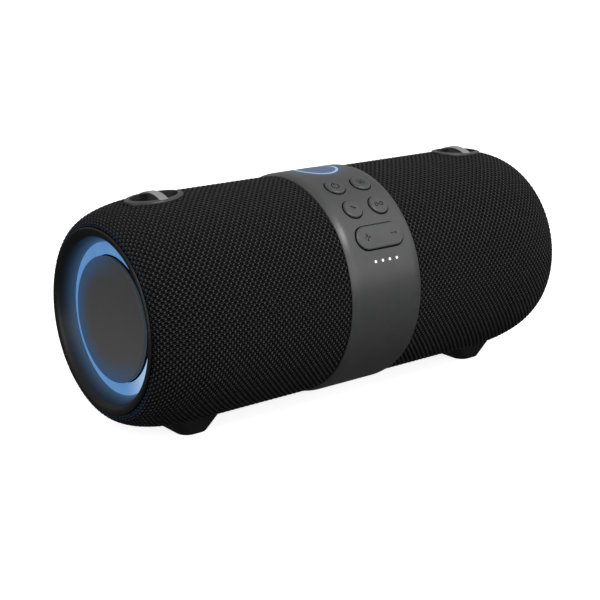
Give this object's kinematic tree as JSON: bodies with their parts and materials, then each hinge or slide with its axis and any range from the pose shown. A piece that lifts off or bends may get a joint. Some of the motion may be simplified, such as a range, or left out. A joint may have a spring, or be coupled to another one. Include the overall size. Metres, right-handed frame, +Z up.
{
  "type": "portable bluetooth speaker",
  "caption": "Fabric covered cylindrical portable speaker on rubber feet, with a grey control band, strap loops and a lit passive radiator in each end.",
  "frame": {"origin": "middle of the bounding box's base, on the plane that the feet stand on", "axes": "+X along the drum towards its right end, +Y to the back where the port door is, +Z up; the keys face up and forward, to -Y"},
  "size_m": [0.252, 0.11, 0.1122],
  "materials": {
    "speaker_fabric": "woven black polyester cord",
    "shell_plastic": "moulded black ABS",
    "case_plastic": "moulded black ABS",
    "band_plastic": "fine textured grey plastic",
    "key_plastic": "satin grey plastic",
    "black_rubber": "satin black silicone",
    "soft_rubber": "soft black rubber",
    "cup_plastic": "black plastic with a satin rim",
    "bright_metal": "polished steel",
    "light_guide": "milky diffuser that glows blue",
    "lamp_clear": "clear light pipe",
    "circuit_board": "green solder mask on glass fibre",
    "component_black": "moulded components",
    "frame_plastic": "moulded black ABS",
    "disc_plastic": "fine grained dark grey plastic",
    "steel": "plain steel",
    "magnet": "black ferrite",
    "paper_cone": "coated paper",
    "socket_plastic": "black socket body",
    "battery_wrap": "blue shrink sleeve"
  },
  "bodies": {
    "housing": {"centre_band": "band_plastic", "volume_rocker_pin": "steel", "charge_lamps": "lamp_clear", "top_ring_lens": "light_guide", "key_carrier": "shell_plastic", "key_board": "circuit_board", "key_switches": "component_black", "port_door_pin": "steel", "port_housing": "shell_plastic", "port_board": "circuit_board", "usb_c_socket": "steel", "usb_a_socket": "steel", "aux_socket": "socket_plastic", "main_board": "circuit_board", "board_components": "component_black", "battery_cells": "battery_wrap", "battery_holder": "shell_plastic", "case_screws": "steel", "frame_screws": "steel", "enclosure_front": "case_plastic", "enclosure_rear": "case_plastic", "enclosure_gasket": "soft_rubber", "left_fabric_sleeve": "speaker_fabric", "right_fabric_sleeve": "speaker_fabric", "left_grille_shell": "shell_plastic", "right_grille_shell": "shell_plastic", "left_strap_cup": "cup_plastic", "right_strap_cup": "cup_plastic", "left_strap_bar": "bright_metal", "right_strap_bar": "bright_metal", "left_foot": "black_rubber", "right_foot": "black_rubber", "left_end_bezel": "black_rubber", "right_end_bezel": "black_rubber", "left_light_diffuser": "light_guide", "right_light_diffuser": "light_guide", "left_light_board": "circuit_board", "right_light_board": "circuit_board", "left_radiator_frame": "frame_plastic", "right_radiator_frame": "frame_plastic", "left_radiator_surround": "soft_rubber", "right_radiator_surround": "soft_rubber", "left_driver_basket": "steel", "right_driver_basket": "steel", "left_driver_magnet": "magnet", "right_driver_magnet": "magnet", "left_driver_surround": "soft_rubber", "right_driver_surround": "soft_rubber"},
    "power_key": {"power_button": "key_plastic"},
    "light_key": {"light_button": "key_plastic"},
    "play_key": {"play_button": "key_plastic"},
    "pairing_key": {"pairing_button": "key_plastic"},
    "volume_key": {"volume_rocker": "key_plastic"},
    "door": {"port_door": "band_plastic"},
    "left_radiator": {"left_radiator_disc": "disc_plastic", "left_radiator_weight": "steel"},
    "left_diaphragm": {"left_driver_cone": "paper_cone"},
    "right_radiator": {"right_radiator_disc": "disc_plastic", "right_radiator_weight": "steel"},
    "right_diaphragm": {"right_driver_cone": "paper_cone"}
  },
  "joints": [
    {"name": "power_press", "type": "slide", "parent": "housing", "child": "power_key", "axis": [0, 0.4067, -0.9135], "range_m": [0, 0.0005], "stiffness_N_per_m": 1500},
    {"name": "light_press", "type": "slide", "parent": "housing", "child": "light_key", "axis": [0, 0.4067, -0.9135], "range_m": [0, 0.0005], "stiffness_N_per_m": 1500},
    {"name": "play_press", "type": "slide", "parent": "housing", "child": "play_key", "axis": [0, 0.6494, -0.7604], "range_m": [0, 0.0005], "stiffness_N_per_m": 1500},
    {"name": "pairing_press", "type": "slide", "parent": "housing", "child": "pairing_key", "axis": [0, 0.6494, -0.7604], "range_m": [0, 0.0005], "stiffness_N_per_m": 1500},
    {"name": "volume_tip", "type": "hinge", "parent": "housing", "child": "volume_key", "pos_m": [0.001, -0.04283, 0.0835], "axis": [0, 0.5402, 0.8415], "range_deg": [-3, 3], "stiffness_Nm_per_rad": 0.3},
    {"name": "port_door_hinge", "type": "hinge", "parent": "housing", "child": "door", "pos_m": [0, 0.0534, 0.0458], "axis": [-1, 0, 0], "range_deg": [0, 110]},
    {"name": "left_radiator_stroke", "type": "slide", "parent": "housing", "child": "left_radiator", "axis": [-1, 0, 0], "range_m": [-0.0025, 0.0025], "stiffness_N_per_m": 900, "deforming": ["left_radiator_surround"]},
    {"name": "left_driver_stroke", "type": "slide", "parent": "housing", "child": "left_diaphragm", "axis": [0, -1, 0], "range_m": [-0.0015, 0.0015], "stiffness_N_per_m": 1500, "deforming": ["left_driver_surround"]},
    {"name": "right_radiator_stroke", "type": "slide", "parent": "housing", "child": "right_radiator", "axis": [1, 0, 0], "range_m": [-0.0025, 0.0025], "stiffness_N_per_m": 900, "deforming": ["right_radiator_surround"]},
    {"name": "right_driver_stroke", "type": "slide", "parent": "housing", "child": "right_diaphragm", "axis": [0, -1, 0], "range_m": [-0.0015, 0.0015], "stiffness_N_per_m": 1500, "deforming": ["right_driver_surround"]}
  ]
}
